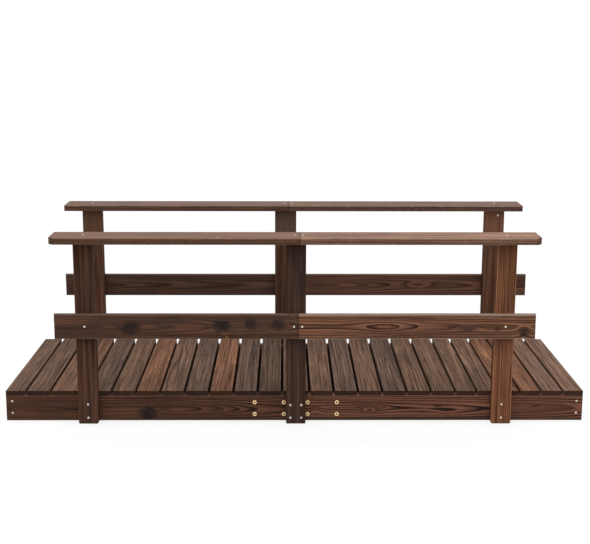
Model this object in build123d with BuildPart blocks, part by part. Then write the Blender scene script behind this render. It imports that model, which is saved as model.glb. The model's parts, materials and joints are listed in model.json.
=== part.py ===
"""Flat garden footbridge of stained timber, made in two halves that are bolted at the middle.

X runs along the bridge, Y across it with the front side at -Y, and Z is up from the ground.
The origin is on the ground at the middle of the bridge. All sizes are in millimetres.
"""

import os
from dataclasses import dataclass

from build123d import *

os.makedirs("parts", exist_ok=True)

# Deck and beams
bridge_length = 2300
deck_width = 787
beam_height = 103
beam_thickness = 40
beam_arris = 2
deck_thickness = 20
deck_arris = 1.5

# Deck boards, from the left end: a narrow one, a standard one, the wide one at the post,
# a run of standard ones, the middle one over the joint, then standard and narrow ones
deck_gap = 11
narrow_board_width = 75
wide_board_width = 134
middle_board_width = 98
left_standard_boards = 8
right_standard_boards = 6
right_narrow_boards = 6

# What joins the beams: a bearer across each end and a splice board behind each butt joint
end_bearer_thickness = 45
splice_length = 420
splice_height = 90
splice_thickness = 30

# Posts, which stand on the ground against the outer faces of the beams
post_top = 730
post_thickness = 45
post_arris = 4
post_foot_chamfer = 4
front_post_width = 77
rear_post_width = 88
rear_middle_post_width = 97
front_end_post_inset = 333
rear_end_post_inset = 235
front_middle_post_shift = 3
rear_middle_post_shift = -37

# Handrails, flat boards over the post tops
handrail_width = 144
handrail_thickness = 26
handrail_arris = 4
front_handrail_overhang = 85
rear_handrail_overhang = 72
front_corner_cut = 20

# Middle rails, boards on edge against the outer faces of the posts
midrail_height = 99
midrail_thickness = 20
midrail_arris = 2
front_midrail_overhang = 78
rear_midrail_overhang = 107
rear_midrail_shift = 12
front_midrail_bottom = 353
rear_midrail_bottom = 321

# Butt joints of the rails, measured from the middle of the post that carries them
handrail_joint_shift = 14
midrail_joint_shift = 8

# Worked out from the sizes above
half_length = bridge_length / 2
half_width = deck_width / 2
deck_top = beam_height + deck_thickness
beam_middle_y = half_width - beam_thickness / 2
post_middle_y = half_width + post_thickness / 2
midrail_middle_y = half_width + post_thickness + midrail_thickness / 2
splice_middle_y = half_width - beam_thickness - splice_thickness / 2
inner_width = deck_width - 2 * beam_thickness


@dataclass(frozen=True)
class Railing:
    """The sizes of one side's railing, which differ a little between front and rear."""

    name: str
    side: int
    end_post_width: float
    middle_post_width: float
    end_post_inset: float
    middle_post_x: float
    handrail_overhang: float
    corner_cut: float
    midrail_overhang: float
    midrail_shift: float
    midrail_bottom: float


def write_piece(piece, name):
    """Label one finished piece and write it to its own file."""
    piece.part.label = name
    export_step(piece.part, f"parts/{name}.step")


def timber_between(left, right, middle_y, thickness, bottom, height, arris=0.0):
    """A straight timber that lies along X, with its long edges eased by the arris."""
    with BuildPart() as timber:
        with BuildSketch(Plane.XY.offset(bottom)):
            with Locations(((left + right) / 2, middle_y)):
                Rectangle(right - left, thickness)
        extrude(amount=height)
        if arris:
            fillet(timber.edges().filter_by(Axis.X), arris)
    return timber


def deck_board(middle_x, width):
    """One board across the bridge, laid on the beams, with its upper edges eased."""
    with BuildPart() as board:
        with BuildSketch(Plane.XY.offset(beam_height)):
            with Locations((middle_x, 0)):
                Rectangle(width, deck_width)
        extrude(amount=deck_thickness)
        fillet(board.edges().group_by(Axis.Z)[-1].filter_by(Axis.Y), deck_arris)
    return board


def post(middle_x, middle_y, width):
    """A post with rounded upright edges and its foot chamfered all round."""
    with BuildPart() as upright:
        with BuildSketch(Plane.XY):
            with Locations((middle_x, middle_y)):
                Rectangle(width, post_thickness)
        extrude(amount=post_top)
        chamfer(upright.edges().group_by(Axis.Z)[0], post_foot_chamfer)
        fillet(upright.edges().filter_by(Axis.Z), post_arris)
    return upright


def handrail_half(joint_x, end_x, side, corner_cut):
    """Half a handrail from its joint to its end, the outer corner clipped off by the cut."""
    outward = 1 if end_x > joint_x else -1
    outer_y = side * (post_middle_y + handrail_width / 2)
    inner_y = side * (post_middle_y - handrail_width / 2)
    end_corner = [(end_x, outer_y)]
    if corner_cut:
        end_corner = [(end_x, outer_y - side * corner_cut), (end_x - outward * corner_cut, outer_y)]
    with BuildPart() as rail:
        with BuildSketch(Plane.XY.offset(post_top)):
            with BuildLine():
                Polyline((joint_x, inner_y), (end_x, inner_y), *end_corner, (joint_x, outer_y), close=True)
            make_face()
        extrude(amount=handrail_thickness)
        fillet(rail.edges().filter_by(Axis.X), handrail_arris)
    return rail


# Deck: the standard boards take up what the other boards and the gaps leave of the length
board_count = 3 + left_standard_boards + 1 + right_standard_boards + right_narrow_boards
standard_count = 1 + left_standard_boards + right_standard_boards
narrow_count = 1 + right_narrow_boards
gaps_together = (board_count - 1) * deck_gap
standard_board = (
    bridge_length
    - wide_board_width
    - middle_board_width
    - narrow_count * narrow_board_width
    - gaps_together
) / standard_count
board_widths = (
    [narrow_board_width, standard_board, wide_board_width]
    + left_standard_boards * [standard_board]
    + [middle_board_width]
    + right_standard_boards * [standard_board]
    + right_narrow_boards * [narrow_board_width]
)
board_left = -half_length
for number, board_width in enumerate(board_widths, start=1):
    write_piece(deck_board(board_left + board_width / 2, board_width), f"deck_board_{number:02d}")
    board_left += board_width + deck_gap

# Beams: each side has two halves that butt at the middle, with a splice board inside
for side_name, side in (("front", -1), ("rear", 1)):
    beam_y = side * beam_middle_y
    for half_name, left, right in (("left", -half_length, 0), ("right", 0, half_length)):
        beam = timber_between(left, right, beam_y, beam_thickness, 0, beam_height, beam_arris)
        write_piece(beam, f"{side_name}_beam_{half_name}")
    splice = timber_between(
        -splice_length / 2,
        splice_length / 2,
        side * splice_middle_y,
        splice_thickness,
        (beam_height - splice_height) / 2,
        splice_height,
    )
    write_piece(splice, f"{side_name}_splice_board")

# End bearers between the beams
for end_name, end in (("left", -1), ("right", 1)):
    with BuildPart() as bearer:
        with BuildSketch(Plane.XY):
            with Locations((end * (half_length - end_bearer_thickness / 2), 0)):
                Rectangle(end_bearer_thickness, inner_width)
        extrude(amount=beam_height)
    write_piece(bearer, f"{end_name}_end_bearer")

# Railings: posts, handrail halves and middle rail halves of each side
railings = (
    Railing(
        name="front",
        side=-1,
        end_post_width=front_post_width,
        middle_post_width=front_post_width,
        end_post_inset=front_end_post_inset,
        middle_post_x=front_middle_post_shift,
        handrail_overhang=front_handrail_overhang,
        corner_cut=front_corner_cut,
        midrail_overhang=front_midrail_overhang,
        midrail_shift=0,
        midrail_bottom=front_midrail_bottom,
    ),
    Railing(
        name="rear",
        side=1,
        end_post_width=rear_post_width,
        middle_post_width=rear_middle_post_width,
        end_post_inset=rear_end_post_inset,
        middle_post_x=rear_middle_post_shift,
        handrail_overhang=rear_handrail_overhang,
        corner_cut=0,
        midrail_overhang=rear_midrail_overhang,
        midrail_shift=rear_midrail_shift,
        midrail_bottom=rear_midrail_bottom,
    ),
)
for railing in railings:
    post_y = railing.side * post_middle_y
    end_post_x = half_length - railing.end_post_inset
    middle_post = post(railing.middle_post_x, post_y, railing.middle_post_width)
    write_piece(middle_post, f"{railing.name}_post_middle")

    handrail_reach = end_post_x + railing.end_post_width / 2 + railing.handrail_overhang
    midrail_reach = end_post_x + railing.end_post_width / 2 + railing.midrail_overhang
    handrail_joint = railing.middle_post_x + handrail_joint_shift
    midrail_joint = railing.middle_post_x + midrail_joint_shift
    for half_name, end in (("left", -1), ("right", 1)):
        end_post = post(end * end_post_x, post_y, railing.end_post_width)
        write_piece(end_post, f"{railing.name}_post_{half_name}")

        handrail = handrail_half(handrail_joint, end * handrail_reach, railing.side, railing.corner_cut)
        write_piece(handrail, f"{railing.name}_handrail_{half_name}")

        midrail_end = end * midrail_reach + railing.midrail_shift
        midrail = timber_between(
            min(midrail_joint, midrail_end),
            max(midrail_joint, midrail_end),
            railing.side * midrail_middle_y,
            midrail_thickness,
            railing.midrail_bottom,
            midrail_height,
            midrail_arris,
        )
        write_piece(midrail, f"{railing.name}_midrail_{half_name}")
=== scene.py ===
"""Looks of the flat garden footbridge: dark stained softwood, zinc screws and brass bolts.

Every length is in metres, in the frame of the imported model: X runs along the bridge, Y goes
from the front railing to the rear one, and Z is up from the ground. The timbers keep their
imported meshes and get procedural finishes; the screws and bolts are made here.
"""

from __future__ import annotations

import json
import logging
import math
import random
from dataclasses import dataclass, replace
from enum import Enum

import bmesh
import bpy
from bmesh.types import BMEdge, BMesh, BMFace, BMVert
from bpy.types import Material, Node, NodeSocket, NodeTree
from mathutils import Euler, Matrix, Vector

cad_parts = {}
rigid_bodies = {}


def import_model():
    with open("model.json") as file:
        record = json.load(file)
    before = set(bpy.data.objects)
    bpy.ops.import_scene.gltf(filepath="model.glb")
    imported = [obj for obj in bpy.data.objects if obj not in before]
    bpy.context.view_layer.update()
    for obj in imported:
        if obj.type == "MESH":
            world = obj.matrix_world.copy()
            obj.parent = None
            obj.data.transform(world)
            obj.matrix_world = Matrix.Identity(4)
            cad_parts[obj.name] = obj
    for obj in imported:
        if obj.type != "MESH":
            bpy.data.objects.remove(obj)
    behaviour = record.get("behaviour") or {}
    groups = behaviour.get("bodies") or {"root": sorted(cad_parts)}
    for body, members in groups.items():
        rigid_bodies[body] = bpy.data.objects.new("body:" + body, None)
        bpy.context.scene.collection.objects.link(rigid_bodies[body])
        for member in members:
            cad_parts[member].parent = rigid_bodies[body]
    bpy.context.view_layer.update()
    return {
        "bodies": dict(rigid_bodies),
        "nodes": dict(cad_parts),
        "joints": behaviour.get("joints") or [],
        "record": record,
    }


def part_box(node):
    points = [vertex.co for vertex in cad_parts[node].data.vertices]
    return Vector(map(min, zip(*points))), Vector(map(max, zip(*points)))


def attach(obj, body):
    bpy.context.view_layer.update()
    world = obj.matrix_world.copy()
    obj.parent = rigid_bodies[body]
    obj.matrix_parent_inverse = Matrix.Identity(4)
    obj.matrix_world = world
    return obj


LOG = logging.getLogger("footbridge")
ROOT_BODY = "root"
DECK_SEED = 7
FASTENER_SEED = 11

Colour = tuple[float, float, float]
SocketValue = NodeSocket | float | tuple[float, ...] | Vector


def srgb(red: int, green: int, blue: int) -> Colour:
    """Turn a display colour into the linear one that shaders use.

    Args:
        red: Red, 0 to 255.
        green: Green, 0 to 255.
        blue: Blue, 0 to 255.

    Returns:
        The linear colour, 0 to 1.
    """

    def linear(value: int) -> float:
        """Turn one part of it."""
        share = value / 255
        return share / 12.92 if share <= 0.04045 else ((share + 0.055) / 1.055) ** 2.4

    return linear(red), linear(green), linear(blue)


class Side(Enum):
    """The two long sides of the bridge, with the sign of Y on each."""

    FRONT = -1
    REAR = 1

    @property
    def prefix(self) -> str:
        """The word that starts this side's node names."""
        return self.name.lower()

    @property
    def outward(self) -> Vector:
        """The direction away from the walkway."""
        return Vector((0, self.value, 0))


class GrainRun(Enum):
    """How a timber lies: the axes along its fibres, across its face and into it."""

    LENGTHWISE_UPRIGHT = "XZY"
    LENGTHWISE_FLAT = "XYZ"
    CROSSWISE_FLAT = "YXZ"
    CROSSWISE_UPRIGHT = "YZX"
    STANDING = "ZXY"

    @property
    def directions(self) -> list[Vector]:
        """The three directions as vectors."""
        return [Vector([float(letter == axis) for axis in "XYZ"]) for letter in self.value]


class Tone(Enum):
    """Tones that the stain takes, as factors on a finish's red, green and blue."""

    PLAIN = (1.0, 1.0, 1.0)
    GREY = (0.80, 0.84, 0.92)
    DARK = (0.66, 0.70, 0.74)
    RUSSET = (1.22, 1.02, 0.90)
    RUDDY = (1.06, 0.98, 0.94)
    DIM = (0.86, 0.88, 0.92)
    PALE = (1.12, 1.13, 1.16)


KNOT = srgb(38, 32, 31)
BARE = srgb(196, 138, 84)
AMBER = srgb(166, 106, 72)
FAWN = srgb(160, 110, 88)
SEPIA = srgb(52, 33, 27)
UMBER = srgb(78, 56, 50)
# How far one step of a seed shifts the pattern along, across and into the timber
SEED_STEPS = (3.1, 1.7, 2.3)


@dataclass(frozen=True)
class Figure:
    """One place where the rings swirl round an eye, a knot or a bruise, or a patch of painted light
    or shade.

    Attributes:
        along: Place along the timber from its middle.
        across: Place across the face from its middle.
        length: Half its length.
        width: Half its width.
        lift: How far it pushes the rings; a few ring widths make closed loops.
        heart: Colour of its heart.
        strength: How fully the heart takes that colour, from 0 to 1.
    """

    along: float
    across: float
    length: float
    width: float
    lift: float = 0.0
    heart: Colour = KNOT
    strength: float = 0.0


@dataclass(frozen=True)
class TimberFinish:
    """How one timber is stained and how its grain runs.

    Attributes:
        early: Colour of the soft early wood.
        late: Colour of the hard late wood lines.
        blotch: Colour of the soft patches of stain.
        worn: Colour of the worn edges, and of the painted highlight on the upper edge.
        ring: Mean distance between growth rings.
        pith_across: Place of the tree's heart across the face.
        pith_depth: Depth of the tree's heart behind the timber's middle.
        drift: Slope of the heart along the timber, which makes pointed figures.
        wander: How far the rings wander.
        contrast: Strength of the ring lines.
        fibre: Strength of the streaks along the fibres.
        streak_shares: Shares of the fine, middling and broad streaks.
        mottle: Strength of the patches.
        wear: Strength of the edge wear.
        top_reach: Extra reach of the wear on the upper or right edge; on the upper edge it is
            partly a painted highlight, where the edge catches the light.
        rim: Colour of the line painted near the ends: dark painted shade where timbers butt
            together, light painted highlight on the deck boards' end edges.
        rim_strength: How fully that line takes its colour.
        end_tone: Brightness of the end grain as a share of the face's.
        relief: Height of the brushed ridges.
        roughness: Mean roughness.
        gloss: Specular level of the stain.
        seed: Sets this timber's random pattern apart.
        figures: Swirls, knots and bruises.
    """

    early: Colour
    late: Colour
    blotch: Colour
    worn: Colour
    ring: float = 0.005
    pith_across: float = 0.0
    pith_depth: float = 0.05
    drift: float = 0.03
    wander: float = 0.012
    contrast: float = 0.9
    fibre: float = 0.5
    streak_shares: tuple[float, float, float] = (1.0, 1.6, 0.9)
    mottle: float = 0.5
    wear: float = 0.4
    top_reach: float = 0.0
    # Painted shade in the joints at the timbers' ends
    rim: Colour = srgb(18, 11, 8)
    rim_strength: float = 0.8
    end_tone: float = 0.6
    relief: float = 0.0003
    roughness: float = 0.6
    gloss: float = 0.16
    seed: float = 0.0
    figures: tuple[Figure, ...] = ()

    def toned(self, tone: Tone, **changes: object) -> TimberFinish:
        """Return this finish in another tone.

        Args:
            tone: Factors on the colours.
            **changes: Other attributes to change.

        Returns:
            The changed finish.
        """
        colours = {
            name: tuple(part * factor for part, factor in zip(getattr(self, name), tone.value))
            for name in ("early", "late", "blotch", "worn")
        }
        return replace(self, **{**colours, **changes})

    def inputs(self) -> dict[str, SocketValue]:
        """Return what the timber group takes from this finish, by the name of the input."""
        values = vars(self) | {"seed": tuple(self.seed * step for step in SEED_STEPS)}
        for name in ("relief", "gloss", "figures"):
            del values[name]
        return values


def titled(keyword: str) -> str:
    """Return the socket name that a keyword stands for."""
    return keyword.replace("_", " ").title()


class NodeSheet:
    """A node tree with short calls for the nodes that the finishes need."""

    def __init__(self, tree: NodeTree) -> None:
        """Keep the tree that the calls add nodes to."""
        self.tree = tree

    @classmethod
    def for_material(cls, name: str) -> tuple[Material, NodeSheet]:
        """Make a material and the sheet of its empty tree.

        Args:
            name: Name of the material.

        Returns:
            The material and its sheet.
        """
        material = bpy.data.materials.new(name)
        material.use_nodes = True
        material.node_tree.nodes.clear()
        return material, cls(material.node_tree)

    def add(self, kind: str, *values: SocketValue, **settings: object) -> Node:
        """Add a node.

        Args:
            kind: Type of the node, without the word ShaderNode.
            *values: What its first inputs get.
            **settings: Its properties.

        Returns:
            The node.
        """
        node = self.tree.nodes.new(f"ShaderNode{kind}")
        for name, value in settings.items():
            setattr(node, name, value)
        for socket, value in zip(node.inputs, values):
            self.feed(socket, value)
        return node

    def feed(self, socket: NodeSocket, value: SocketValue) -> None:
        """Link a socket to another, or set its value.

        Args:
            socket: The input.
            value: The output to link it to, or a value.
        """
        if isinstance(value, NodeSocket):
            self.tree.links.new(value, socket)
        elif socket.type == "RGBA":
            socket.default_value = (*value, 1.0)
        else:
            socket.default_value = value

    def math(self, operation: str, *values: SocketValue, clamp: bool = False) -> NodeSocket:
        """Return the result of a scalar operation."""
        return self.add("Math", *values, operation=operation, use_clamp=clamp).outputs[0]

    def product(self, *values: SocketValue, clamp: bool = False) -> NodeSocket:
        """Return the product of two numbers."""
        return self.math("MULTIPLY", *values, clamp=clamp)

    def vector(self, operation: str, *values: SocketValue) -> NodeSocket:
        """Return the result of a vector operation, a number for a dot product or length."""
        node = self.add("VectorMath", *values, operation=operation)
        return node.outputs["Value" if operation in ("DOT_PRODUCT", "LENGTH") else "Vector"]

    def scaled(self, vector: SocketValue, factor: SocketValue) -> NodeSocket:
        """Return a vector times a number."""
        node = self.add("VectorMath", vector, operation="SCALE")
        self.feed(node.inputs["Scale"], factor)
        return node.outputs["Vector"]

    def parts(self, vector: SocketValue) -> list[NodeSocket]:
        """Return the three parts of a vector."""
        return list(self.add("SeparateXYZ", vector).outputs)

    def joined(self, *values: SocketValue) -> NodeSocket:
        """Return a vector of up to three numbers."""
        return self.add("CombineXYZ", *values).outputs[0]

    def smooth(self, value: SocketValue, low: SocketValue, high: SocketValue) -> NodeSocket:
        """Return 0 at low, 1 at high and a smooth step between."""
        span = (value, low, high)
        return self.add("MapRange", *span, interpolation_type="SMOOTHSTEP").outputs[0]

    def blend(self, share: SocketValue, first: SocketValue, second: SocketValue) -> NodeSocket:
        """Return a mix of two colours.

        Args:
            share: Share of the second colour, from 0 to 1.
            first: One colour.
            second: The other colour.

        Returns:
            The mixed colour.
        """
        node = self.add("Mix", data_type="RGBA")
        enabled = (socket for socket in node.inputs if socket.enabled)
        for socket, value in zip(enabled, (share, first, second)):
            self.feed(socket, value)
        return next(socket for socket in node.outputs if socket.enabled)

    def noise(
        self, place: SocketValue, scale: float | Colour = 1.0, detail: float = 2.0,
        rough: float = 0.5,
    ) -> Node:
        """Add a noise texture.

        Args:
            place: Where it is looked up.
            scale: Its scale, or one for each axis.
            detail: Its detail.
            rough: Its roughness.

        Returns:
            The node.
        """
        if isinstance(scale, tuple):
            place, scale = self.vector("MULTIPLY", place, scale), 1.0
        node = self.add("TexNoise", place, noise_dimensions="3D")
        for name, value in (("Scale", scale), ("Detail", detail), ("Roughness", rough)):
            node.inputs[name].default_value = value
        return node

    def centred(self, vector: SocketValue) -> NodeSocket:
        """Return a noise with its mean taken off."""
        return self.vector("SUBTRACT", vector, (0.5, 0.5, 0.5))

    def group(self, tree: NodeTree, **values: SocketValue) -> Node:
        """Place a node group.

        Args:
            tree: The group.
            **values: What its inputs get.

        Returns:
            The group's node.
        """
        node = self.add("Group", node_tree=tree)
        for keyword, value in values.items():
            self.feed(node.inputs[titled(keyword)], value)
        return node

    def coat(self, look: Node, relief: float, uniform: dict[str, float]) -> None:
        """Finish a material with a bumped Principled shader.

        Args:
            look: Node that puts out the colour, the roughness and the height.
            relief: Height of the bumps.
            uniform: Values of the shader's other sockets.
        """
        shader, bump = self.add("BsdfPrincipled"), self.add("Bump")
        bump.inputs["Distance"].default_value = relief
        self.feed(bump.inputs["Height"], look.outputs["Height"])
        self.feed(shader.inputs["Base Color"], look.outputs["Colour"])
        self.feed(shader.inputs["Roughness"], look.outputs["Roughness"])
        self.feed(shader.inputs["Normal"], bump.outputs["Normal"])
        for label, value in uniform.items():
            shader.inputs[label].default_value = value
        self.add("OutputMaterial", shader.outputs["BSDF"])


class GroupSheet(NodeSheet):
    """A shader node group under construction."""

    kinds = {"VECTOR": "NodeSocketVector", "RGBA": "NodeSocketColor", "VALUE": "NodeSocketFloat"}

    def __init__(self, name: str, vectors: str = "", colours: str = "", numbers: str = "") -> None:
        """Make the group with its inputs, whose names are parted by commas.

        Args:
            name: Name of the group.
            vectors: Names of the vector inputs, which come first in self.inputs.
            colours: Names of the colour inputs, which come next.
            numbers: Names of the number inputs, which come last.
        """
        super().__init__(bpy.data.node_groups.new(name, "ShaderNodeTree"))
        for kind, labels in zip(self.kinds, (vectors, colours, numbers)):
            for label in filter(None, labels.split(", ")):
                self.expose(label, "INPUT", kind)
        *self.inputs, _ = self.tree.nodes.new("NodeGroupInput").outputs

    def expose(self, label: str, direction: str, kind: str) -> None:
        """Add an input or output to the group."""
        kind = self.kinds[kind]
        self.tree.interface.new_socket(label, in_out=direction, socket_type=kind)

    def give(self, **results: NodeSocket) -> NodeTree:
        """Add the group's outputs.

        Args:
            **results: What the outputs put out.

        Returns:
            The finished group.
        """
        for keyword, socket in results.items():
            self.expose(titled(keyword), "OUTPUT", socket.type)
        ends = self.tree.nodes.new("NodeGroupOutput").inputs
        for end, socket in zip(ends, results.values()):
            self.feed(end, socket)
        return self.tree


def build_board_space() -> NodeTree:
    """Build the group that gives a place in the timber, and how squarely its end is faced.

    Returns:
        The group, which puts out the place and the facing.
    """
    facing_span = (0.5, 0.7)
    sheet = GroupSheet("board_space", vectors="Centre, Along, Across, Inward")
    centre, *directions = sheet.inputs
    offset = sheet.vector("SUBTRACT", sheet.add("TexCoord").outputs["Object"], centre)
    shares = [sheet.vector("DOT_PRODUCT", offset, direction) for direction in directions]
    normal = sheet.add("NewGeometry").outputs["True Normal"]
    facing = sheet.math("ABSOLUTE", sheet.vector("DOT_PRODUCT", normal, directions[0]))
    return sheet.give(board=sheet.joined(*shares), end=sheet.smooth(facing, *facing_span))


def build_figure() -> NodeTree:
    """Build the group that lifts the rings at one swirl and adds its heart to the others.

    Returns:
        The group, which takes the lift, mask and colour of the swirls before it.
    """
    ripple_noise, ripple_reach = (42.0, 3.0, 0.6), 0.005
    rag_noise, rag_depth, heart_span = ((55.0, 170.0, 170.0), 3.0, 0.6), 1.9, (1.25, 0.0)
    sheet = GroupSheet(
        "figure", vectors="Board, Place, Size", colours="Tint, Heart Colour",
        numbers="Rise, Strength, Lift, Heart",
    )
    board, place, size, tint, heart_colour, rise, strength, lift, heart = sheet.inputs
    ripple = sheet.centred(sheet.noise(board, *ripple_noise).outputs["Color"])
    rippled = sheet.vector("ADD", board, sheet.scaled(ripple, ripple_reach))
    share = sheet.vector("DIVIDE", sheet.vector("SUBTRACT", rippled, place), size)
    flat = sheet.vector("MULTIPLY", share, (1.0, 1.0, 0.0))
    square = sheet.vector("DOT_PRODUCT", flat, flat)
    bell = sheet.math("EXPONENT", sheet.product(square, -1.0))
    rag = sheet.noise(board, *rag_noise).outputs[0]
    ragged = sheet.math("ADD", square, sheet.math("MULTIPLY_ADD", rag, rag_depth, -rag_depth / 2))
    mask = sheet.product(sheet.smooth(ragged, *heart_span), strength)
    return sheet.give(
        lift=sheet.math("MULTIPLY_ADD", bell, rise, lift),
        heart=sheet.math("MAXIMUM", mask, heart),
        heart_colour=sheet.blend(mask, heart_colour, tint),
    )


def build_growth_rings() -> NodeTree:
    """Build the group that cuts the timber out of a tree with growth rings.

    Returns:
        The group, which puts out the late wood lines and a number for each year.
    """
    bends = (((1.6, 7.0, 7.0), 1.0), ((9.0, 45.0, 45.0), 0.12))
    unevenness, unevenness_scale = 3.0, 0.3
    rise_span, fall_span = (0.2, 0.8), (1.0, 0.9)
    sheet = GroupSheet(
        "growth_rings", vectors="Board, Seed",
        numbers="Pith Across, Pith Depth, Drift, Ring, Wander, Lift",
    )
    board, seed, pith_across, pith_depth, drift, ring, wander, lift = sheet.inputs
    bent = board
    for stretch, reach in bends:
        place = sheet.vector("ADD", sheet.vector("MULTIPLY", board, stretch), seed)
        turn = sheet.centred(sheet.noise(place).outputs["Color"])
        bent = sheet.vector("ADD", bent, sheet.scaled(turn, sheet.product(wander, reach)))
    along, across, inward = sheet.parts(bent)
    sideways = sheet.math("SUBTRACT", across, pith_across)
    slope = sheet.math("MULTIPLY_ADD", along, drift, pith_depth)
    radius = sheet.vector("LENGTH", sheet.joined(sideways, sheet.math("ADD", inward, slope)))
    count = sheet.math("DIVIDE", sheet.math("ADD", radius, lift), ring)
    uneven = sheet.add("TexNoise", noise_dimensions="1D")
    sheet.feed(uneven.inputs["W"], count)
    sheet.feed(uneven.inputs["Scale"], unevenness_scale)
    spread = sheet.math("MULTIPLY_ADD", uneven.outputs[0], unevenness, count)
    saw = sheet.math("FRACT", spread)
    year = sheet.add("TexWhiteNoise", noise_dimensions="1D")
    sheet.feed(year.inputs["W"], sheet.math("FLOOR", spread))
    rings = sheet.product(sheet.smooth(saw, *rise_span), sheet.smooth(saw, *fall_span))
    return sheet.give(rings=rings, year=year.outputs["Value"])


def build_fibres() -> NodeTree:
    """Build the group of streaks along the fibres, three sizes of them, and of fine cracks.

    Returns:
        The group, which puts out the three streaks as one vector, and the cracks.
    """
    fine, middling = ((16.0, 900.0, 900.0), 3.0, 0.6), ((4.0, 240.0, 240.0), 3.0, 0.65)
    broad, crack = ((1.6, 55.0, 55.0), 2.0, 0.5), ((3.5, 400.0, 400.0), 1.0, 0.5)
    crack_span = (0.66, 0.76)
    sheet = GroupSheet("fibres", vectors="Board, Seed")
    place = sheet.vector("ADD", *sheet.inputs)
    sizes = (fine, middling, broad, crack)
    *streaks, cracks = (sheet.noise(place, *size).outputs[0] for size in sizes)
    return sheet.give(streaks=sheet.joined(*streaks), check=sheet.smooth(cracks, *crack_span))


def build_arrises() -> NodeTree:
    """Build the group that finds the timber's long edges and the lines at its two ends, where the
    painted end lines go.

    Returns:
        The group, which puts out the edges and the end lines.
    """
    seam_reach, edge_reach = 0.004, 0.005
    ragged_stretch, ragged_noise = (0.4, 1.0, 1.0), (70.0, 4.0, 0.65)
    sheet = GroupSheet("arrises", vectors="Board, Half Size, Seed", numbers="Top Reach")
    board, half_size, seed, top_reach = sheet.inputs
    _, height, _ = sheet.parts(board)
    # Wear reaches further on the upper edge: real wear, and partly a painted highlight
    upper = sheet.product(sheet.math("GREATER_THAN", height, 0.0), top_reach)
    inside = sheet.vector("SUBTRACT", half_size, sheet.vector("ABSOLUTE", board))
    along, across, inward = sheet.parts(inside)
    corner = sheet.math("MAXIMUM", across, inward)
    place = sheet.vector("MULTIPLY", sheet.vector("ADD", board, seed), ragged_stretch)
    ragged = sheet.noise(place, *ragged_noise).outputs[0]
    reach = sheet.math("MULTIPLY_ADD", ragged, 2.0 * edge_reach, upper)
    return sheet.give(
        edge=sheet.smooth(corner, reach, 0.0), seam=sheet.smooth(along, seam_reach, 0.0)
    )


def build_patches() -> NodeTree:
    """Build the group of soft cloudy patches, where the stain took unevenly.

    Returns:
        The group, which puts out the light clouds and the dark ones.
    """
    cloud_noise, cloud_span = ((5.0, 15.0, 15.0), 3.0, 0.55), (0.40, 0.68)
    soot_noise, soot_span = ((2.2, 26.0, 26.0), 4.0, 0.6), (0.5, 0.78)
    sheet = GroupSheet("patches", vectors="Board, Seed")
    place = sheet.vector("ADD", *sheet.inputs)
    cloud, soot = (sheet.noise(place, *size).outputs[0] for size in (cloud_noise, soot_noise))
    return sheet.give(cloud=sheet.smooth(cloud, *cloud_span), soot=sheet.smooth(soot, *soot_span))


def build_wood_stain() -> NodeTree:
    """Build the group that colours the wood by its rings, patches, streaks and cracks.

    Returns:
        The group, which puts out the colour of the unworn wood.
    """
    year_gain, least_year = 0.55, 0.6
    deep_share, crack_share, soot_share = 0.7, 0.3, 0.75
    streak_gain, least_gain = 2.2, 0.2
    sheet = GroupSheet(
        "wood_stain", vectors="Streaks, Streak Shares", colours="Early, Late, Blotch",
        numbers="Rings, Year, Contrast, Cloud, Soot, Mottle, Check, Fibre",
    )
    streaks, shares, early, late, blotch, *numbers = sheet.inputs
    rings, year, contrast, cloud, soot, mottle, check, fibre = numbers
    yearly = sheet.math("MULTIPLY_ADD", year, year_gain, least_year)
    lines = sheet.product(sheet.product(rings, contrast), yearly, clamp=True)
    wood = sheet.blend(lines, early, late)
    wood = sheet.blend(sheet.product(cloud, mottle), wood, blotch)
    sooty = sheet.product(soot, sheet.product(mottle, soot_share))
    wood = sheet.blend(sooty, wood, sheet.scaled(late, deep_share))
    streak = sheet.vector("DOT_PRODUCT", sheet.centred(streaks), shares)
    gain = sheet.math("MULTIPLY_ADD", streak, sheet.product(fibre, streak_gain), 1.0)
    wood = sheet.scaled(wood, sheet.math("MAXIMUM", gain, least_gain))
    crack = sheet.product(check, fibre)
    return sheet.give(wood=sheet.blend(crack, wood, sheet.scaled(late, crack_share)))


def build_wear_and_painted_lines() -> NodeTree:
    """Build the group that lays hearts, worn edges, end grain and the painted end lines over the
    wood.

    Returns:
        The group, which puts out the final colour.
    """
    end_dark = srgb(30, 12, 7)
    heart_gain, heart_start = 2.6, -0.3
    sheet = GroupSheet(
        "wear_and_painted_lines", vectors="Streaks", colours="Wood, Heart Colour, Worn, Rim",
        numbers="Heart, Edge, Wear, End, End Tone, Seam, Rim Strength",
    )
    streaks, wood, heart_colour, worn, rim, *numbers = sheet.inputs
    heart, edge, wear, end, end_tone, seam, rim_strength = numbers
    _, middling, _ = sheet.parts(streaks)
    streaky = sheet.math("MULTIPLY_ADD", middling, heart_gain, heart_start)
    wood = sheet.blend(sheet.product(heart, streaky, clamp=True), wood, heart_colour)
    wood = sheet.blend(sheet.product(edge, wear), wood, worn)
    darkened = sheet.product(end, sheet.math("SUBTRACT", 1.0, end_tone))
    wood = sheet.blend(darkened, wood, end_dark)
    # The painted end line: shade of the joints, and on the deck a highlight along the board ends
    line = sheet.product(seam, sheet.math("SUBTRACT", 1.0, end))
    return sheet.give(colour=sheet.blend(sheet.product(line, rim_strength), wood, rim))


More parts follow.
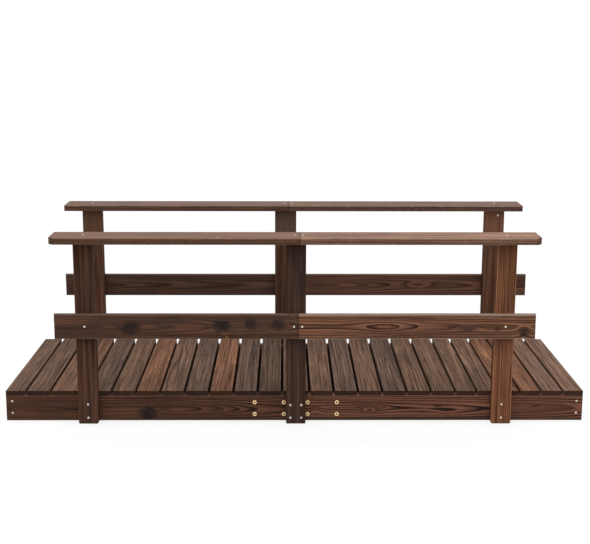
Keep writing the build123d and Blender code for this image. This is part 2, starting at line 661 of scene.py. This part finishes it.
def build_brushing() -> NodeTree:
    """Build the group that gives the roughness and the ridges that brushing leaves.

    Returns:
        The group, which puts out the roughness and the height.
    """
    fibre_height, ring_height = 1.5, 0.6
    dull_start, fibre_polish = 0.12, -0.25
    sheet = GroupSheet("brushing", vectors="Streaks", numbers="Rings, Check, Roughness")
    streaks, rings, check, roughness = sheet.inputs
    fine, middling, _ = sheet.parts(streaks)
    base = sheet.math("ADD", roughness, dull_start)
    ridges = sheet.math("MULTIPLY_ADD", rings, ring_height, fine)
    ridges = sheet.math("MULTIPLY_ADD", middling, fibre_height, ridges)
    return sheet.give(
        roughness=sheet.math("MULTIPLY_ADD", middling, fibre_polish, base, clamp=True),
        height=sheet.math("SUBTRACT", ridges, check),
    )


def build_timber() -> NodeTree:
    """Build the group of a whole stained timber out of the groups of its single effects.

    Each effect takes what it needs by name, from the timber's inputs or from the effects
    before it.

    Returns:
        The group, which puts out the colour, the roughness and the height for the bump.
    """
    effects = (
        build_growth_rings, build_fibres, build_arrises, build_patches, build_wood_stain,
        build_wear_and_painted_lines, build_brushing,
    )
    sheet = GroupSheet(
        "timber", vectors="Board, Half Size, Seed, Streak Shares",
        colours="Heart Colour, Early, Late, Blotch, Worn, Rim",
        numbers="End, Lift, Heart, Pith Across, Pith Depth, Ring, Drift, Wander, Contrast, Fibre, "
        "Mottle, Wear, Rim Strength, Top Reach, End Tone, Roughness",
    )
    known = {socket.name: socket for socket in sheet.inputs}
    for build in effects:
        effect = sheet.group(build())
        for socket in effect.inputs:
            sheet.feed(socket, known[socket.name])
        known.update({socket.name: socket for socket in effect.outputs})
    colour, roughness, height = (known[label] for label in ("Colour", "Roughness", "Height"))
    return sheet.give(colour=colour, roughness=roughness, height=height)


class TimberYard:
    """Makes the finish of each timber from the shared node groups."""

    def __init__(self) -> None:
        """Build the node groups once."""
        self.board_space = build_board_space()
        self.figure = build_figure()
        self.timber = build_timber()

    def dress(self, node: str, run: GrainRun, finish: TimberFinish) -> None:
        """Give a packed timber its own stained finish.

        Args:
            node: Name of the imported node.
            run: How the timber lies.
            finish: Its colours and grain.
        """
        low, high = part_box(node)
        half, (along, across, inward) = (high - low) / 2, run.directions
        material, sheet = NodeSheet.for_material(f"stained_{node}")
        space = sheet.group(
            self.board_space, centre=(low + high) / 2, along=along, across=across, inward=inward
        )
        board, end = space.outputs
        swirls: dict[str, SocketValue] = {"lift": 0.0, "heart": 0.0, "heart_colour": KNOT}
        for figure in finish.figures:
            swirl = sheet.group(
                self.figure, board=board, place=(figure.along, figure.across, 0.0),
                size=(figure.length, figure.width, 1.0), rise=figure.lift, tint=figure.heart,
                strength=figure.strength, **swirls,
            )
            swirls = dict(zip(swirls, swirl.outputs))
        half_size = tuple(abs(half.dot(axis)) for axis in (along, across, inward))
        timber = sheet.group(
            self.timber, board=board, half_size=half_size, end=end, **swirls, **finish.inputs()
        )
        sheet.coat(timber, finish.relief, {"Specular IOR Level": finish.gloss})
        piece = bpy.data.objects[node]
        if not piece.material_slots:
            piece.data.materials.append(material)
        for slot in piece.material_slots:
            slot.material = material


BEAM = TimberFinish(
    early=srgb(117, 79, 60), late=srgb(46, 30, 25), blotch=srgb(80, 53, 45),
    worn=srgb(146, 106, 86), wear=0.5, top_reach=0.002, ring=0.006, pith_depth=0.035,
    drift=0.035, gloss=0.1,
)
MIDRAIL = TimberFinish(
    early=srgb(128, 91, 73), late=srgb(62, 43, 36), blotch=srgb(84, 62, 54),
    worn=srgb(140, 116, 100), wear=0.6, top_reach=0.003, ring=0.006, pith_depth=0.04,
    drift=0.025, gloss=0.1,
)
POST = TimberFinish(
    early=srgb(112, 78, 61), late=srgb(64, 46, 39), blotch=srgb(76, 58, 53),
    worn=srgb(142, 100, 76), wear=0.7, ring=0.006, pith_across=0.03, pith_depth=0.03,
    drift=0.006, fibre=0.55, streak_shares=(0.8, 1.6, 1.5), mottle=0.6, gloss=0.02,
)
HANDRAIL = TimberFinish(
    early=srgb(134, 94, 70), late=srgb(80, 54, 40), blotch=srgb(100, 72, 58),
    worn=srgb(184, 152, 130), wear=0.6, ring=0.007, pith_depth=0.06, drift=0.008, contrast=0.6,
    fibre=0.3, relief=0.0002, roughness=0.5, gloss=0.1,
)
# The deck's light rim is a painted highlight along the boards' end edges
DECK = TimberFinish(
    early=srgb(134, 103, 84), late=srgb(70, 52, 42), blotch=srgb(90, 74, 68),
    worn=srgb(152, 124, 106), wear=0.3, rim=srgb(160, 132, 114), rim_strength=0.4, ring=0.0045,
    drift=0.004, wander=0.005, contrast=0.7, fibre=0.8, streak_shares=(1.2, 2.2, 0.35),
    mottle=0.3, end_tone=0.3, relief=0.0006, roughness=0.75, gloss=0.06,
)
INNER = TimberFinish(
    early=srgb(110, 76, 58), late=srgb(60, 42, 33), blotch=srgb(76, 56, 46), worn=srgb(120, 90, 70)
)

FRONT_BEAM_LEFT = replace(BEAM, seed=41.0, contrast=1.15, pith_across=-0.004, figures=(
    Figure(0.100, -0.004, 0.210, 0.030, lift=-0.012),
    Figure(-0.010, -0.022, 0.044, 0.034, lift=0.006, strength=0.95),
    Figure(0.055, -0.016, 0.022, 0.020, lift=0.008),
))
FRONT_BEAM_RIGHT = replace(
    BEAM, early=srgb(156, 104, 81), late=srgb(44, 28, 22), ring=0.010, seed=44.0, contrast=1.2,
    mottle=0.25, figures=(
        # Painted shade: a dark strip along the beam's lower edge
        Figure(0.000, -0.054, 3.000, 0.020, heart=srgb(66, 48, 42), strength=0.8),
        Figure(-0.277, -0.006, 0.062, 0.026, lift=-0.012),
        Figure(-0.277, -0.008, 0.076, 0.021, heart=FAWN, strength=0.65),
        Figure(-0.277, -0.008, 0.053, 0.017, heart=SEPIA, strength=1.0),
        Figure(-0.277, -0.008, 0.031, 0.010, heart=FAWN, strength=1.0),
        Figure(-0.277, -0.008, 0.015, 0.006, heart=SEPIA, strength=1.0),
        Figure(0.400, 0.004, 0.170, 0.060, heart=srgb(132, 90, 71), strength=0.6),
        Figure(0.045, -0.014, 0.080, 0.018, lift=-0.010),
        Figure(-0.490, -0.012, 0.022, 0.012, lift=0.010),
        Figure(-0.003, 0.007, 0.024, 0.006, strength=0.9),
        Figure(0.387, 0.007, 0.020, 0.005, strength=0.9),
    ),
)

# Tints of a handrail's outer face, along its whole length, and painted light on a post's top under
# it, which lightens the handrail's shadow
HANDRAIL_FACE = Figure(0.0, -0.088, 3.0, 0.020, strength=0.6)
POST_TOP_PAINTED_LIGHT = Figure(0.345, 0.0, 0.14, 0.20, strength=1.0)

FRONT_RAILING = {
    "post_left": replace(POST, seed=61.0),
    "post_middle": replace(
        POST, early=srgb(87, 65, 55), late=srgb(54, 41, 35), blotch=srgb(66, 52, 46),
        worn=srgb(96, 72, 58), seed=62.0, pith_across=0.01, contrast=0.6,
    ),
    "post_right": replace(
        POST, early=srgb(164, 109, 78), late=srgb(97, 63, 45), blotch=srgb(120, 80, 60),
        worn=srgb(214, 152, 110), wear=0.9, seed=63.0,
    ),
    "handrail_left": replace(HANDRAIL, wear=0.4, seed=64.0, figures=(
        Figure(0.170, -0.058, 0.014, 0.006, heart=srgb(214, 186, 150), strength=0.8),
        replace(HANDRAIL_FACE, heart=srgb(90, 64, 54)),
    )),
    "handrail_right": replace(
        HANDRAIL, early=srgb(172, 126, 98), late=srgb(78, 52, 39), contrast=0.9, fibre=0.45,
        wear=1.0, seed=65.0, figures=(replace(HANDRAIL_FACE, heart=srgb(208, 166, 138)),),
    ),
    "midrail_left": replace(
        MIDRAIL, early=srgb(115, 80, 61), seed=66.0, contrast=0.7, mottle=0.8, figures=(
            Figure(-0.180, -0.006, 0.046, 0.034, lift=0.005, strength=0.85),
            Figure(0.177, 0.004, 0.042, 0.028, lift=0.006, strength=0.95),
            Figure(0.288, 0.014, 0.026, 0.024, lift=0.008, strength=0.7),
            Figure(0.394, 0.006, 0.032, 0.027, lift=-0.022, strength=0.75),
            Figure(0.186, -0.030, 0.022, 0.014, heart=BARE, strength=0.35),
            Figure(0.195, -0.042, 0.008, 0.014, heart=BARE, strength=0.7),
        ),
    ),
    "midrail_right": replace(
        MIDRAIL, early=srgb(158, 109, 82), late=srgb(44, 28, 23), worn=srgb(196, 170, 152),
        wear=0.85, top_reach=0.006, ring=0.008, pith_depth=0.03, drift=0.012, seed=67.0,
        contrast=1.0, mottle=0.35, figures=(
            Figure(-0.125, 0.000, 0.115, 0.034, lift=-0.0155),
            Figure(-0.125, 0.000, 0.056, 0.009, heart=AMBER, strength=0.8),
            Figure(0.195, -0.004, 0.070, 0.014, lift=0.007, heart=UMBER, strength=0.9),
            Figure(0.418, -0.020, 0.026, 0.020, lift=0.014, strength=0.75),
            Figure(0.314, -0.006, 0.018, 0.012, strength=0.6),
        ),
    ),
}
# Painted light: each rear post is lighter at its top, where the rear handrail's shadow falls
REAR_POSTS = {
    f"post_{place}": replace(POST, early=early, seed=seed, figures=(replace(POST_TOP_PAINTED_LIGHT, heart=top_painted_light),))
    for place, early, top_painted_light, seed in (
        ("left", srgb(122, 84, 63), srgb(131, 96, 76), 71.0),
        ("middle", srgb(107, 75, 57), srgb(126, 102, 90), 72.0),
        ("right", srgb(124, 86, 65), srgb(166, 117, 93), 73.0),
    )
}
REAR_RAILING = REAR_POSTS | {
    "handrail_left": HANDRAIL.toned(Tone.GREY, seed=74.0, contrast=0.8, mottle=0.9),
    "handrail_right": HANDRAIL.toned(
        Tone.DIM, seed=75.0, contrast=0.8, mottle=0.9, wear=1.0,
        figures=(replace(HANDRAIL_FACE, heart=srgb(170, 138, 124)),),
    ),
    "midrail_left": MIDRAIL.toned(Tone.DARK, seed=76.0),
    "midrail_right": replace(
        MIDRAIL, seed=77.0, figures=(Figure(0.050, 0.002, 0.060, 0.012, lift=0.012),)
    ),
}
RAILING_RUNS = {
    "post": GrainRun.STANDING,
    "handrail": GrainRun.LENGTHWISE_FLAT,
    "midrail": GrainRun.LENGTHWISE_UPRIGHT,
}


@dataclass
class Deck:
    """The boards across the bridge, each from another tree.

    Attributes:
        yard: Where the finishes are made.
        tones: Tone of each board, from the left end.
        pith_reach: How far sideways the trees' hearts may lie from a board's middle.
        pith_depths: Least and greatest depth of the trees' hearts.
    """

    yard: TimberYard
    tones: str = (
        "DIM DIM RUDDY GREY PLAIN RUSSET PLAIN GREY RUSSET GREY DARK PLAIN "
        "PLAIN GREY PLAIN GREY PLAIN PLAIN PLAIN PALE RUSSET RUSSET PALE PALE"
    )
    pith_reach: float = 0.09
    pith_depths: tuple[float, float] = (0.02, 0.06)

    def dress(self) -> None:
        """Give each board a finish of its own."""
        draw = random.Random(DECK_SEED)
        tones = [Tone[name] for name in self.tones.split()]
        for number, tone in enumerate(tones, start=1):
            finish = DECK.toned(
                tone, seed=float(number),
                pith_across=draw.uniform(-self.pith_reach, self.pith_reach),
                pith_depth=draw.uniform(*self.pith_depths),
            )
            self.yard.dress(f"deck_board_{number:02d}", GrainRun.CROSSWISE_FLAT, finish)
        LOG.info("deck: %d boards dressed", len(tones))


@dataclass
class Frame:
    """The side beams with their splice boards and the end bearers.

    Attributes:
        yard: Where the finishes are made.
        front_left: Finish of the front beam's left half.
        front_right: Finish of the front beam's right half.
        inner_seed: Seed of the first of the four hidden boards.
    """

    yard: TimberYard
    front_left: TimberFinish = FRONT_BEAM_LEFT
    front_right: TimberFinish = FRONT_BEAM_RIGHT
    inner_seed: float = 51.0

    def dress(self) -> None:
        """Finish each piece."""
        upright, crosswise = GrainRun.LENGTHWISE_UPRIGHT, GrainRun.CROSSWISE_UPRIGHT
        self.yard.dress("front_beam_left", upright, self.front_left)
        self.yard.dress("front_beam_right", upright, self.front_right)
        self.yard.dress("rear_beam_left", upright, replace(BEAM, seed=47.0, drift=-0.03))
        self.yard.dress("rear_beam_right", upright, replace(BEAM, seed=49.0))
        inner = (
            ("front_splice_board", upright), ("rear_splice_board", upright),
            ("left_end_bearer", crosswise), ("right_end_bearer", crosswise),
        )
        for number, (node, run) in enumerate(inner):
            self.yard.dress(node, run, replace(INNER, seed=self.inner_seed + number))
        LOG.info("frame: beams, splice boards and end bearers dressed")


@dataclass
class Railing:
    """One side's posts, handrail and middle rail.

    Attributes:
        yard: Where the finishes are made.
        side: The side it stands on.
        finishes: Finish of each timber, by its kind and place.
    """

    yard: TimberYard
    side: Side
    finishes: dict[str, TimberFinish]

    def dress(self) -> None:
        """Finish each piece."""
        for name, finish in self.finishes.items():
            kind, _ = name.split("_")
            self.yard.dress(f"{self.side.prefix}_{name}", RAILING_RUNS[kind], finish)
        LOG.info("%s railing dressed", self.side.prefix)


@dataclass(frozen=True)
class MetalFinish:
    """How a fastener's metal looks.

    Attributes:
        name: Name of the material.
        bright: Colour of the clean metal.
        dull: Colour of the tarnish.
        tarnish: Strength of the tarnish.
        roughness: Mean roughness.
    """

    name: str
    bright: Colour
    dull: Colour
    tarnish: float
    roughness: float


ZINC = MetalFinish("zinc", srgb(246, 238, 228), srgb(190, 174, 160), tarnish=0.35, roughness=0.45)
BRASS = MetalFinish("brass", srgb(250, 218, 170), srgb(176, 130, 84), tarnish=0.5, roughness=0.40)
# Painted shade: the sockets are shallow, so their walls and floor get a near-black finish for the
# shade inside a deep socket
PAINTED_SOCKET_SHADE = MetalFinish("socket_painted_shade", srgb(40, 34, 30), srgb(20, 16, 14), tarnish=0.6, roughness=0.7)
SOCKET_INDEX = 1


def build_tarnish() -> NodeTree:
    """Build the group of spots of tarnish and fine scratches on metal.

    Returns:
        The group, which puts out the colour, the roughness and the height.
    """
    spot_noise, spot_span = (420.0, 3.0, 0.6), (0.4, 0.7)
    scratch_noise, roughening = (2600.0, 2.0, 0.5), 0.2
    sheet = GroupSheet("tarnish", colours="Bright, Dull", numbers="Tarnish, Roughness")
    bright, dull, tarnish, roughness = sheet.inputs
    place = sheet.add("TexCoord").outputs["Object"]
    spots = sheet.noise(place, *spot_noise).outputs[0]
    scratches = sheet.noise(place, *scratch_noise).outputs[0]
    taken = sheet.product(sheet.smooth(spots, *spot_span), tarnish)
    scratched = sheet.math("MULTIPLY_ADD", scratches, roughening, roughness)
    return sheet.give(
        colour=sheet.blend(taken, bright, dull),
        roughness=sheet.math("MULTIPLY_ADD", taken, roughening, scratched),
        height=scratches,
    )


class Foundry:
    """Makes each metal and the sockets' painted shade once, from one shared node group."""

    scratch_depth = 0.00005
    scratch_roughness = 0.1

    def __init__(self) -> None:
        """Build the node group, the two metals and the painted shade of the sockets."""
        self.tarnish = build_tarnish()
        self.metals = {finish: self.cast(finish) for finish in (ZINC, BRASS, PAINTED_SOCKET_SHADE)}

    def cast(self, finish: MetalFinish) -> Material:
        """Make the material of a metal.

        Args:
            finish: How the metal looks.

        Returns:
            The material.
        """
        material, sheet = NodeSheet.for_material(finish.name)
        metal = sheet.group(
            self.tarnish, bright=finish.bright, dull=finish.dull, tarnish=finish.tarnish,
            roughness=finish.roughness - self.scratch_roughness,
        )
        sheet.coat(metal, self.scratch_depth, {"Metallic": 1.0})
        return material


def circle(count: int) -> list[Vector]:
    """Return the corners of a regular outline with a radius of 1."""
    turns = [2 * math.pi * step / count for step in range(count)]
    return [Vector((math.cos(turn), math.sin(turn), 0.0)) for turn in turns]


class Drive(Enum):
    """Shape of the socket in a fastener's head."""

    CROSS = "cross"
    HEXAGON = "hexagon"

    def outline(self) -> list[Vector]:
        """Work out the outline.

        Returns:
            Its corners in turn, the outermost at a distance of 1.
        """
        if self is Drive.HEXAGON:
            return circle(6)
        arm = 0.22  # half the width of a cross's arm
        quarter = [Vector((1, -arm, 0)), Vector((1, arm, 0)), Vector((arm, arm, 0))]
        turns = [Matrix.Rotation(math.radians(90 * step), 3, "Z") for step in range(4)]
        return [turn @ corner for turn in turns for corner in quarter]


@dataclass(frozen=True)
class Fastener:
    """The head of a screw or bolt as it shows on the timber.

    Attributes:
        radius: Outer radius of the head.
        rise: Height of the head over the timber.
        ease: Size of the rounding at the rim.
        drive: Shape of the socket.
        reach: Distance of the socket's corners from the axis.
        floor_share: Width of the socket's floor as a share of its mouth's.
        floor_level: Height of the socket's floor as a share of the rise.
        segments: Corners of the rim.
    """

    radius: float
    rise: float
    ease: float
    drive: Drive
    reach: float
    floor_share: float = 0.9
    floor_level: float = 0.1
    segments: int = 32

    def add_to(self, mesh: BMesh, seat: Matrix) -> None:
        """Add one head to a mesh.

        Args:
            mesh: The mesh that takes the head.
            seat: Where the head sits, its axis along the seat's Z.
        """

        def ring(outline: list[Vector], size: float, height: float) -> list[BMVert]:
            """Add an outline in a size at a height, and return its corners."""
            lifted = [corner * size + Vector((0, 0, height)) for corner in outline]
            return [mesh.verts.new(seat @ corner) for corner in lifted]

        rim, mouth = circle(self.segments), self.drive.outline()
        loops = [ring(rim, self.radius, 0.0)]
        for slope in map(math.radians, (0, 30, 60, 90)):
            inset, drop = self.ease * (1 - math.cos(slope)), self.ease * (1 - math.sin(slope))
            loops.append(ring(rim, self.radius - inset, self.rise - drop))
        for lower, upper in zip(loops, loops[1:]):
            self.wall(mesh, lower, upper)
        lip = ring(mouth, self.reach, self.rise)
        floor = ring(mouth, self.reach * self.floor_share, self.rise * self.floor_level)
        # The socket's wall and floor take the second slot, the painted shade
        for face in self.wall(mesh, floor, lip) + [mesh.faces.new(floor)]:
            face.material_index = SOCKET_INDEX
        edges = self.edges(mesh, loops[-1]) + self.edges(mesh, lip)
        bmesh.ops.triangle_fill(mesh, edges=edges, use_beauty=True)

    @staticmethod
    def wall(mesh: BMesh, lower: list, upper: list) -> list[BMFace]:
        """Join two rings of as many corners with faces, and return them."""
        steps = zip(lower, lower[1:] + lower[:1], upper[1:] + upper[:1], upper)
        return [mesh.faces.new(corners) for corners in steps]

    @staticmethod
    def edges(mesh: BMesh, ring: list) -> list[BMEdge]:
        """Return the edges of a closed ring of corners."""
        pairs = zip(ring, ring[1:] + ring[:1])
        return [mesh.edges.get(pair) or mesh.edges.new(pair) for pair in pairs]


SCREW = Fastener(radius=0.0039, rise=0.0011, ease=0.0006, drive=Drive.CROSS, reach=0.0024)
BOLT = Fastener(radius=0.0082, rise=0.0018, ease=0.0009, drive=Drive.HEXAGON, reach=0.0042)


def grid(xs: tuple[float, ...], y: float, zs: tuple[float, ...]) -> list[Vector]:
    """Return the places at each X and Z, all those at the first X before the others."""
    return [Vector((x, y, z)) for x in xs for z in zs]


@dataclass
class FastenerSet:
    """The screws and bolts of one side, each kind joined into one piece.

    Attributes:
        side: The side of the bridge.
        foundry: Where the metals are made.
        draw: Where the random twist of each head comes from.
        end_inset: Distance of the beam screws from the beam's end.
        beam_heights: Heights of the beam screws.
        post_heights: Heights of the end posts' screws.
        middle_heights: Heights of the middle post's screws.
        middle_spread: Distance of the middle post's screws from its middle.
        joint_spread: Distance of the middle rail's screws from its joint.
        handrail_spread: Distances of the handrail's screws left and right of its joint.
        bolt_heights: Heights of the bolts.
        bolt_edge: Distance of the inner bolts outside the middle post.
        bolt_reach: Distance of the outer bolts from the post's middle.
        stray_shift: Distance of the stray screw to the right of its post's middle.
        stray_depth: Depth of the stray screw under the handrail.
    """

    side: Side
    foundry: Foundry
    draw: random.Random
    end_inset: float = 0.024
    beam_heights: tuple[float, float] = (0.080, 0.031)
    post_heights: tuple[float, float] = (0.081, 0.026)
    middle_heights: tuple[float, float] = (0.078, 0.026)
    middle_spread: float = 0.0215
    joint_spread: float = 0.016
    handrail_spread: tuple[float, float] = (0.019, 0.013)
    bolt_heights: tuple[float, float] = (0.075, 0.026)
    bolt_edge: float = 0.0085
    bolt_reach: float = 0.164
    stray_shift: float = 0.014
    stray_depth: float = 0.025

    def node(self, name: str) -> tuple[Vector, Vector]:
        """Return the box of a node on this side."""
        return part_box(f"{self.side.prefix}_{name}")

    def face(self, name: str) -> float:
        """Return the Y of a node's outer face."""
        low, high = self.node(name)
        return high.y if self.side is Side.REAR else low.y

    def middle(self, name: str) -> Vector:
        """Return the middle of a node."""
        low, high = self.node(name)
        return (low + high) / 2

    def side_screws(self) -> list[Vector]:
        """Find the places of the screws in the outer faces.

        Returns:
            The places, those in the beams first.
        """
        beam_y, post_y, rail_y = map(self.face, ("beam_left", "post_left", "midrail_left"))
        post_x, rail_z = self.middle("post_middle").x, self.middle("midrail_left").z
        left_end, joint = self.node("beam_left")[0].x, self.node("midrail_left")[1].x
        right_end = self.node("beam_right")[1].x
        ends = (left_end + self.end_inset, right_end - self.end_inset)
        places = grid(ends, beam_y, self.beam_heights)
        for x in (self.middle("post_left").x, self.middle("post_right").x):
            places += grid((x,), post_y, self.post_heights) + grid((x,), rail_y, (rail_z,))
        for z in self.middle_heights:
            places += grid((post_x - self.middle_spread, post_x + self.middle_spread), post_y, (z,))
        joined = (joint - self.joint_spread, joint + self.joint_spread)
        return places + grid(joined, rail_y, (rail_z,))

    def top_screws(self) -> list[Vector]:
        """Return the places of the screws down through the handrail."""
        joint, (left, right) = self.node("handrail_left")[1], self.handrail_spread
        ends = self.middle("post_left").x, self.middle("post_right").x
        xs = (ends[0], joint.x - left, joint.x + right, ends[1])
        return grid(xs, self.middle("post_middle").y, (joint.z,))

    def bolts(self) -> list[Vector]:
        """Return the places of the connector bolts on both sides of the middle post."""
        (low, high), x = self.node("post_middle"), self.middle("post_middle").x
        inner = (low.x - self.bolt_edge, high.x + self.bolt_edge)
        xs = (x - self.bolt_reach, *inner, x + self.bolt_reach)
        return grid(xs, self.face("beam_left"), self.bolt_heights)

    def stray(self) -> Vector:
        """Return the place of the lone screw high on the inner face of the rear right post."""
        low, high = self.node("post_right")
        x = self.middle("post_right").x + self.stray_shift
        return Vector((x, low.y, high.z - self.stray_depth))

    def seat(self, place: Vector, outward: Vector) -> Matrix:
        """Return where a head sits, twisted at random."""
        turn = outward.to_track_quat("Z", "Y").to_matrix().to_4x4()
        twist = Matrix.Rotation(self.draw.uniform(0, math.pi), 4, "Z")
        return Matrix.Translation(place) @ turn @ twist

    def build(self) -> None:
        """Make the screws and the bolts of this side."""
        outward, upward = self.side.outward, Vector((0, 0, 1))
        screws = [self.seat(place, outward) for place in self.side_screws()]
        screws += [self.seat(place, upward) for place in self.top_screws()]
        bolts = [self.seat(place, outward) for place in self.bolts()]
        if self.side is Side.REAR:
            screws.append(self.seat(self.stray(), -outward))
        self.join("screws", SCREW, screws, ZINC)
        self.join("bolts", BOLT, bolts, BRASS)
        LOG.info("%s side: %d screws, %d bolts", self.side.prefix, len(screws), len(bolts))

    def join(
        self, name: str, fastener: Fastener, seats: list[Matrix], metal: MetalFinish
    ) -> None:
        """Join heads into one piece that rides on the bridge.

        Args:
            name: Last word of the piece's name.
            fastener: The kind of head.
            seats: Where the heads sit.
            metal: Finish of the metal.
        """
        label = f"{self.side.prefix}_{name}"
        mesh = bmesh.new()
        for seat in seats:
            fastener.add_to(mesh, seat)
        bmesh.ops.recalc_face_normals(mesh, faces=mesh.faces)
        data = bpy.data.meshes.new(label)
        mesh.to_mesh(data)
        mesh.free()
        # The second slot holds the sockets' painted shade
        for finish in (metal, PAINTED_SOCKET_SHADE):
            data.materials.append(self.foundry.metals[finish])
        piece = bpy.data.objects.new(label, data)
        bpy.context.scene.collection.objects.link(piece)
        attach(piece, ROOT_BODY)


@dataclass(frozen=True)
class SoftLamp:
    """A wide soft light from the front side.

    Attributes:
        name: Name of the lamp.
        share: Brightness that it gives a white board that faces it.
        elevation: Height above the horizon, in degrees.
        spread: How wide it looks from the bridge, in degrees.
    """

    name: str
    share: float
    elevation: float
    spread: float


@dataclass
class Studio:
    """Floor, lamp, sky and camera.

    Attributes:
        floor_size: Length of the floor's sides.
        floor_colour: What the floor gives back to the bridge.
        shade_colour: Painted shade: colour of the floor under the deck, where the deck's shadow
            falls.
        floor_glow: White that the camera sees the floor add to its own.
        sky_light: Strength of the even light from all round.
        lamps: The soft lamps.
        camera_place: Where the camera stands.
        camera_pan: Turn of the camera towards +X, in degrees.
        camera_dip: Tilt of the camera towards the ground, in degrees.
        camera_roll: Roll of the camera, in degrees.
        lens: Focal length in millimetres.
        sensor_width: Width of the sensor in millimetres.
    """

    floor_size: float = 80.0
    floor_colour: Colour = (0.30, 0.30, 0.30)
    shade_colour: Colour = (0.06, 0.04, 0.03)
    floor_glow: float = 0.74
    sky_light: float = 0.22
    lamps: tuple[SoftLamp, ...] = (
        SoftLamp("overhead", share=0.67, elevation=84.0, spread=75.0),
        SoftLamp("front", share=0.20, elevation=32.0, spread=55.0),
    )
    camera_place: tuple[float, float, float] = (-0.042, -4.807, 1.530)
    camera_pan: float = 0.531
    camera_dip: float = 11.824
    camera_roll: float = 0.142
    lens: float = 70.6
    sensor_width: float = 36.0

    def build(self) -> None:
        """Make everything that isn't part of the bridge."""
        self.lay_floor()
        self.light_sky()
        self.hang_lamps()
        self.set_camera()
        LOG.info("studio built")

    def lay_floor(self) -> None:
        """Lay a white floor that keeps the bridge's shadow, with painted shade under the deck."""
        mesh = bpy.data.meshes.new("floor")
        reach = self.floor_size / 2
        corners = [(x * reach, y * reach, 0) for x, y in ((-1, -1), (1, -1), (1, 1), (-1, 1))]
        mesh.from_pydata(corners, [], [(0, 1, 2, 3)])
        mesh.materials.append(self.floor_material())
        floor = bpy.data.objects.new("floor", mesh)
        bpy.context.scene.collection.objects.link(floor)

    def floor_material(self) -> Material:
        """Make the floor's material, clear from below to let the underside be looked at.

        Returns:
            The material.
        """
        material, sheet = NodeSheet.for_material("white_floor")
        place = sheet.vector("ABSOLUTE", sheet.add("TexCoord").outputs["Object"])
        x, y, _ = sheet.parts(place)
        # Painted shade: inside the bridge's outline the floor takes the dark shade colour and no
        # glow
        beyond_end = sheet.math("GREATER_THAN", x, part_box("front_beam_right")[1].x)
        beyond_side = sheet.math("GREATER_THAN", y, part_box("rear_beam_right")[1].y)
        clear = sheet.math("MAXIMUM", beyond_end, beyond_side)
        colour = sheet.blend(clear, self.shade_colour, self.floor_colour)
        matt = sheet.add("BsdfDiffuse", colour)
        glow = sheet.add("Emission")
        seen = sheet.product(self.looked_at(sheet), self.floor_glow)
        sheet.feed(glow.inputs["Strength"], sheet.product(seen, clear))
        both = sheet.add("AddShader", matt.outputs[0], glow.outputs[0])
        below = sheet.add("NewGeometry").outputs["Backfacing"]
        nothing = sheet.add("BsdfTransparent").outputs[0]
        one_sided = sheet.add("MixShader", below, both.outputs[0], nothing)
        sheet.add("OutputMaterial", one_sided.outputs[0])
        return material

    @staticmethod
    def looked_at(sheet: NodeSheet) -> NodeSocket:
        """Return 1 for rays from the camera and for those mirrored towards it, else 0."""
        rays = sheet.add("LightPath").outputs
        return sheet.math("MAXIMUM", rays["Is Camera Ray"], rays["Is Glossy Ray"])

    def light_sky(self) -> None:
        """Light the scene evenly, and show white where the camera sees past the floor."""
        world = bpy.data.worlds.new("studio")
        bpy.context.scene.world = world
        world.use_nodes = True
        world.node_tree.nodes.clear()
        sheet = NodeSheet(world.node_tree)
        seen = self.looked_at(sheet)
        strength = sheet.math("MULTIPLY_ADD", seen, 1.0 - self.sky_light, self.sky_light)
        background = sheet.add("Background", (1.0, 1.0, 1.0), strength)
        sheet.add("OutputWorld", background.outputs[0])

    def hang_lamps(self) -> None:
        """Hang the soft lamps."""
        for lamp in self.lamps:
            light = bpy.data.lights.new(lamp.name, "SUN")
            light.energy = math.pi * lamp.share
            light.angle = math.radians(lamp.spread)
            hung = bpy.data.objects.new(lamp.name, light)
            hung.rotation_euler = (math.radians(90.0 - lamp.elevation), 0.0, 0.0)
            bpy.context.scene.collection.objects.link(hung)

    def set_camera(self) -> None:
        """Stand the camera where the photograph was taken from."""
        pan, dip, roll = map(math.radians, (self.camera_pan, self.camera_dip, self.camera_roll))
        aim = Euler((math.pi / 2 - dip, 0.0, -pan)).to_matrix() @ Matrix.Rotation(roll, 3, "Z")
        data = bpy.data.cameras.new("camera")
        data.lens = self.lens
        data.sensor_width = self.sensor_width
        camera = bpy.data.objects.new("camera", data)
        camera.matrix_world = Matrix.Translation(self.camera_place) @ aim.to_4x4()
        bpy.context.scene.collection.objects.link(camera)
        bpy.context.scene.camera = camera


def main() -> None:
    """Dress the bridge, add its fasteners and set up the studio."""
    logging.basicConfig(level=logging.INFO, format="%(name)s: %(message)s")
    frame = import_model()
    LOG.info("packed model loaded: %s", type(frame).__name__)
    bpy.context.scene.view_settings.view_transform = "Standard"
    yard = TimberYard()
    Deck(yard).dress()
    Frame(yard).dress()
    Railing(yard, Side.FRONT, FRONT_RAILING).dress()
    Railing(yard, Side.REAR, REAR_RAILING).dress()
    foundry = Foundry()
    draw = random.Random(FASTENER_SEED)
    for side in Side:
        FastenerSet(side, foundry, draw).build()
    Studio().build()


if __name__ == "__main__":
    main()
